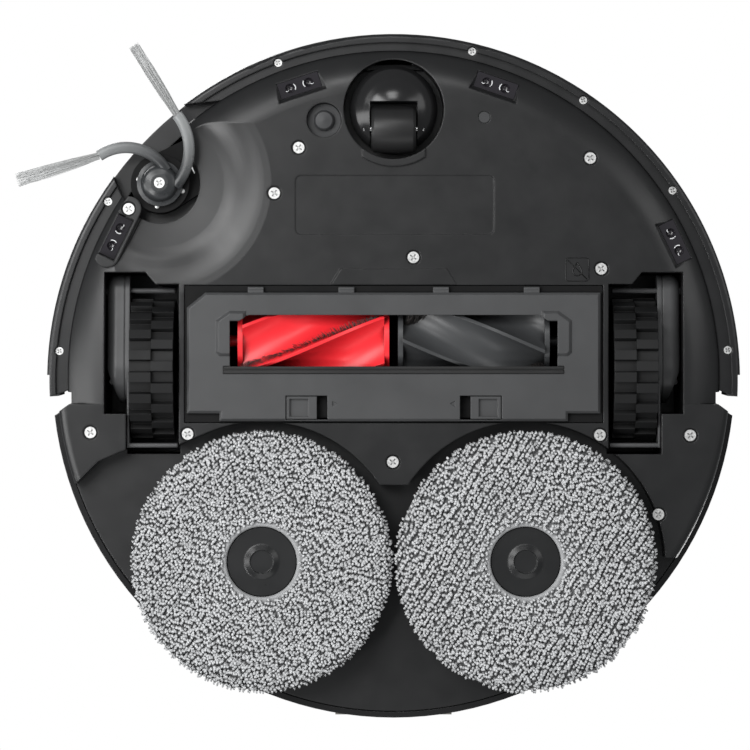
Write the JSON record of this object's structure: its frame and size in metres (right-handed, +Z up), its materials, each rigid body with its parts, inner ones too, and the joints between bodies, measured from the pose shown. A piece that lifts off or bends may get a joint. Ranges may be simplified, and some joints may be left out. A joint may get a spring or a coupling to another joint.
{
  "type": "robot vacuum",
  "caption": "Round robot vacuum and mop with bumper, swing-out side brush, main brush, drive wheels and turning mop pads.",
  "frame": {"origin": "on the floor at the centre of the footprint, which the side brush widens; the upright axis of the round body is 7 mm from it, towards +X", "axes": "+Z up, the front with the bumper and caster towards -Y, the side brush and the swing-out mop on -X"},
  "size_m": [0.3683, 0.3489, 0.104],
  "materials": {
    "shell_black": "satin-gloss black ABS",
    "skirt_black": "gloss black ABS",
    "bumper_black": "satin black ABS",
    "cover_grey": "dark grey satin ABS",
    "deep_black": "black, lightly textured",
    "arm_grey": "dark grey moulding",
    "tyre_rubber": "moulded rubber",
    "seal_rubber": "soft rubber",
    "roller_red": "red moulded rubber with a dark bristle row",
    "roller_grey": "dark grey moulded rubber",
    "pad_cloth": "grey chenille pile",
    "plate_black": "black, fine texture",
    "screw_steel": "bright zinc",
    "axle_steel": "ground steel",
    "lens_dark": "smoked clear window",
    "brush_smoke": "translucent grey elastomer",
    "bristle_grey": "nylon filament",
    "sensor_grey": "grey sensor face",
    "contact_metal": "nickel plated",
    "motor_can": "zinc plated can",
    "board_green": "glass-fibre board",
    "battery_wrap": "shrink-wrapped pack",
    "bin_clear": "smoked clear bin",
    "filter_white": "pleated filter paper",
    "tank_clear": "smoked clear tank",
    "spring_steel": "spring steel",
    "bearing_bronze": "sintered bearing"
  },
  "bodies": {
    "chassis": {"base_shell": "shell_black", "top_shell": "skirt_black", "exhaust_grille": "deep_black", "bumper_springs": "spring_steel", "brush_housing": "deep_black", "roller_bearings": "bearing_bronze", "brush_motor": "motor_can", "lidar_mount": "deep_black", "lidar_cap": "skirt_black", "fan_housing": "arm_grey", "fan_motor": "motor_can", "water_tank": "tank_clear", "water_port": "seal_rubber", "battery": "battery_wrap", "main_board": "board_green", "cliff_lenses": "lens_dark", "carpet_sensor": "sensor_grey", "infrared_window": "sensor_grey", "base_screws": "screw_steel", "dock_contacts": "contact_metal", "side_brush_motor": "motor_can"},
    "lid": {"top_cover": "skirt_black"},
    "bin": {"dust_bin": "bin_clear", "air_filter": "filter_white"},
    "bumper": {"bumper_shell": "bumper_black", "bumper_ring": "bumper_black", "bumper_screws": "screw_steel", "sensor_window": "lens_dark"},
    "caster": {"caster_fork": "skirt_black", "caster_axle": "axle_steel"},
    "caster_roller": {"caster_wheel": "seal_rubber"},
    "side_arm": {"side_brush_arm": "deep_black"},
    "side_brush": {"side_brush_hub": "brush_smoke", "side_brush_tufts": "bristle_grey", "side_brush_screw": "screw_steel"},
    "cover": {"brush_cover": "cover_grey", "brush_strip": "seal_rubber"},
    "right_carriage": {"right_mop_carriage": "deep_black"},
    "lidar_rotor": {"lidar_head": "deep_black"},
    "fan": {"fan_impeller": "arm_grey"},
    "button_power": {"power_button": "sensor_grey"},
    "button_dock": {"dock_button": "sensor_grey"},
    "right_arm": {"right_wheel_gearbox": "arm_grey", "right_wheel_motor": "motor_can"},
    "right_wheel": {"right_tyre": "tyre_rubber", "right_wheel_rim": "deep_black"},
    "right_brush": {"right_roller": "roller_red"},
    "right_catch": {"right_latch": "cover_grey"},
    "right_mop_drive": {"right_mop_gearbox": "arm_grey"},
    "right_mop": {"right_mop_plate": "plate_black", "right_mop_pad": "pad_cloth"},
    "left_arm": {"left_wheel_gearbox": "arm_grey", "left_wheel_motor": "motor_can"},
    "left_wheel": {"left_tyre": "tyre_rubber", "left_wheel_rim": "deep_black"},
    "left_brush": {"left_roller": "roller_grey"},
    "left_catch": {"left_latch": "cover_grey"},
    "left_mop_drive": {"left_mop_gearbox": "arm_grey"},
    "left_mop": {"left_mop_plate": "plate_black", "left_mop_pad": "pad_cloth"}
  },
  "joints": [
    {"name": "bumper_push", "type": "slide", "parent": "chassis", "child": "bumper", "axis": [0, 1, 0], "range_m": [0, 0.0035], "stiffness_N_per_m": 900},
    {"name": "lid_lift", "type": "slide", "parent": "chassis", "child": "lid", "axis": [0, 0, 1], "range_m": [0, 0.12]},
    {"name": "bin_lift", "type": "slide", "parent": "chassis", "child": "bin", "axis": [0, 0, 1], "range_m": [0, 0.06]},
    {"name": "caster_swivel", "type": "hinge", "parent": "chassis", "child": "caster", "pos_m": [0.007, -0.1358, 0.03], "axis": [0, 0, 1], "continuous": true},
    {"name": "caster_spin", "type": "hinge", "parent": "caster", "child": "caster_roller", "pos_m": [0.007, -0.1258, 0.0123], "axis": [1, 0, 0], "continuous": true},
    {"name": "side_arm_swing", "type": "hinge", "parent": "chassis", "child": "side_arm", "pos_m": [-0.059, -0.128, 0.022], "axis": [0, 0, 1], "range_deg": [0, 18]},
    {"name": "side_brush_spin", "type": "hinge", "parent": "side_arm", "child": "side_brush", "pos_m": [-0.1117, -0.0981, 0.012], "axis": [0, 0, 1], "continuous": true},
    {"name": "cover_open", "type": "hinge", "parent": "chassis", "child": "cover", "pos_m": [0.007, -0.0446, 0.0091], "axis": [-1, 0, 0], "range_deg": [0, 75]},
    {"name": "right_brush_spin", "type": "hinge", "parent": "chassis", "child": "right_brush", "pos_m": [-0.033, -0.0182, 0.0245], "axis": [1, 0, 0], "continuous": true},
    {"name": "left_brush_spin", "type": "hinge", "parent": "chassis", "child": "left_brush", "pos_m": [0.047, -0.0182, 0.0245], "axis": [1, 0, 0], "continuous": true},
    {"name": "right_catch_slide", "type": "slide", "parent": "cover", "child": "right_catch", "axis": [1, 0, 0], "range_m": [0, 0.004], "stiffness_N_per_m": 300},
    {"name": "left_catch_slide", "type": "slide", "parent": "cover", "child": "left_catch", "axis": [-1, 0, 0], "range_m": [0, 0.004], "stiffness_N_per_m": 300},
    {"name": "right_mop_swing", "type": "hinge", "parent": "chassis", "child": "right_carriage", "pos_m": [-0.0818, 0.0606, 0.04], "axis": [0, 0, 1], "range_deg": [0, 21]},
    {"name": "right_mop_lift", "type": "slide", "parent": "right_carriage", "child": "right_mop_drive", "axis": [0, 0, 1], "range_m": [0, 0.01]},
    {"name": "right_mop_spin", "type": "hinge", "parent": "right_mop_drive", "child": "right_mop", "pos_m": [-0.0598, 0.0938, 0.012], "axis": [0, 0, 1], "continuous": true},
    {"name": "left_mop_lift", "type": "slide", "parent": "chassis", "child": "left_mop_drive", "axis": [0, 0, 1], "range_m": [0, 0.01]},
    {"name": "left_mop_spin", "type": "hinge", "parent": "left_mop_drive", "child": "left_mop", "pos_m": [0.0738, 0.0938, 0.012], "axis": [0, 0, 1], "continuous": true},
    {"name": "right_wheel_droop", "type": "hinge", "parent": "chassis", "child": "right_arm", "pos_m": [-0.133, -0.044, 0.031], "axis": [-1, 0, 0], "range_deg": [0, 14]},
    {"name": "right_wheel_spin", "type": "hinge", "parent": "right_arm", "child": "right_wheel", "pos_m": [-0.1159, -0.0039, 0.0365], "axis": [1, 0, 0], "continuous": true},
    {"name": "left_wheel_droop", "type": "hinge", "parent": "chassis", "child": "left_arm", "pos_m": [0.147, -0.044, 0.031], "axis": [-1, 0, 0], "range_deg": [0, 14]},
    {"name": "left_wheel_spin", "type": "hinge", "parent": "left_arm", "child": "left_wheel", "pos_m": [0.1299, -0.0039, 0.0365], "axis": [1, 0, 0], "continuous": true},
    {"name": "lidar_spin", "type": "hinge", "parent": "chassis", "child": "lidar_rotor", "pos_m": [0.007, 0.068, 0.08], "axis": [0, 0, 1], "continuous": true},
    {"name": "fan_spin", "type": "hinge", "parent": "chassis", "child": "fan", "pos_m": [0.119, 0.078, 0.055], "axis": [0, 0, 1], "continuous": true},
    {"name": "power_press", "type": "slide", "parent": "chassis", "child": "button_power", "axis": [0, 0, -1], "range_m": [0, 0.001], "stiffness_N_per_m": 400},
    {"name": "dock_press", "type": "slide", "parent": "chassis", "child": "button_dock", "axis": [0, 0, -1], "range_m": [0, 0.001], "stiffness_N_per_m": 400}
  ],
  "couplings": [
    {"joint": "left_brush_spin", "follows": "right_brush_spin", "ratio": 1},
    {"joint": "bin_lift", "follows": "lid_lift", "ratio": 0.5},
    {"joint": "left_mop_lift", "follows": "right_mop_lift", "ratio": 1}
  ]
}
